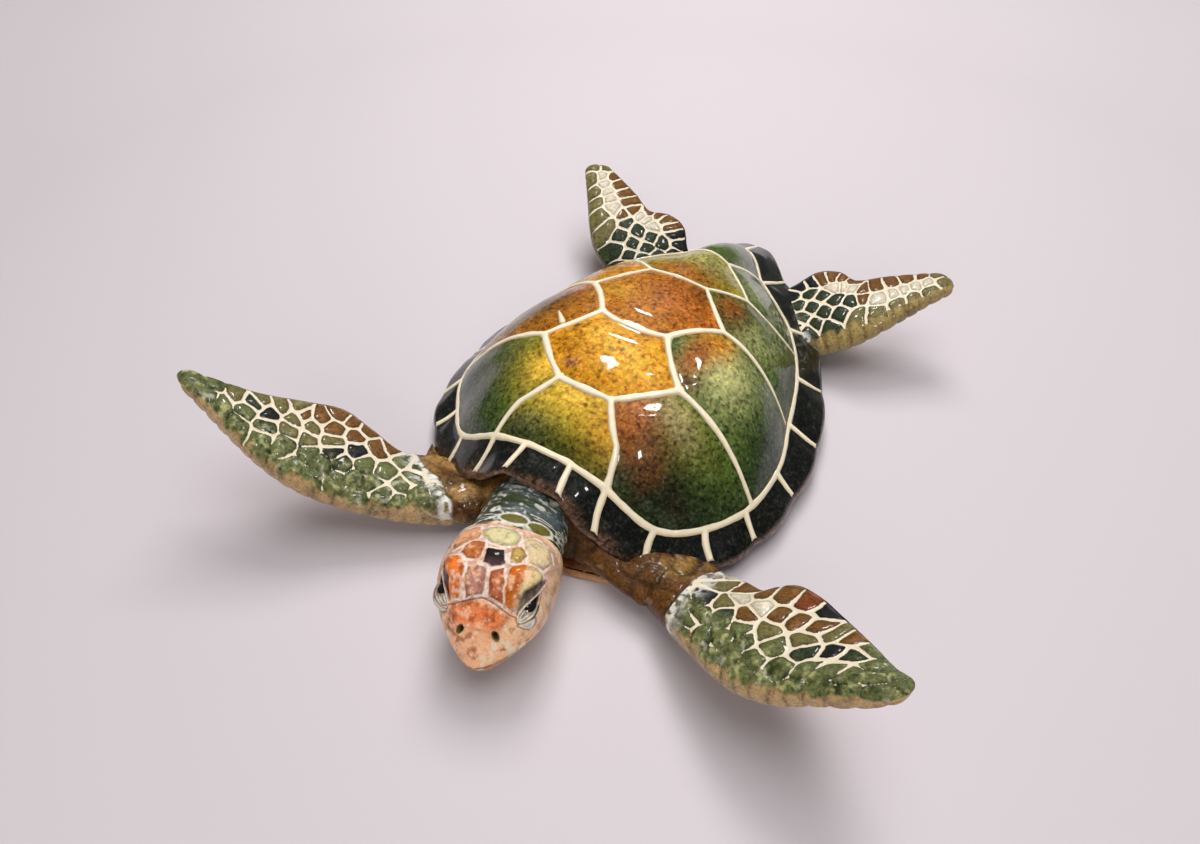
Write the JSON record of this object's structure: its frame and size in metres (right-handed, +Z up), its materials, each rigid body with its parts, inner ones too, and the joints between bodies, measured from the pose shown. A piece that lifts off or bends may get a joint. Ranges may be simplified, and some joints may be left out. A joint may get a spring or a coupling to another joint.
{
  "type": "turtle figurine",
  "caption": "Sea turtle ornament in glazed cast resin, swimming pose with raised flippers, resting on its flat belly plate.",
  "frame": {"origin": "on the flat underside of the belly plate, on the shell's midline, below the front half of the dome", "axes": "+Z up, the head points along -Y, the turtle's left side is +X"},
  "size_m": [0.163, 0.1609, 0.035],
  "materials": {
    "shell_glaze": "glazed and lacquered, mottled green, amber and rust",
    "seam_line": "glossy cream enamel line",
    "skin_paint": "hand-painted scales, satin, dry-brushed",
    "head_paint": "hand-painted plates, satin",
    "body_paint": "brown wash over wrinkled skin, satin",
    "belly_paint": "tan paint, satin",
    "eye_gloss": "wet black gloss",
    "dowel_steel": "plain steel wire"
  },
  "bodies": {
    "root": {"carapace": "shell_glaze", "scute_lines": "seam_line", "plastron": "belly_paint", "body": "body_paint", "head": "head_paint", "left_eye": "eye_gloss", "right_eye": "eye_gloss", "front_left_flipper": "skin_paint", "front_right_flipper": "skin_paint", "rear_left_flipper": "skin_paint", "rear_right_flipper": "skin_paint", "neck_pin": "dowel_steel", "front_left_pin": "dowel_steel", "front_right_pin": "dowel_steel", "rear_left_pin": "dowel_steel", "rear_right_pin": "dowel_steel"}
  },
  "joints": []
}
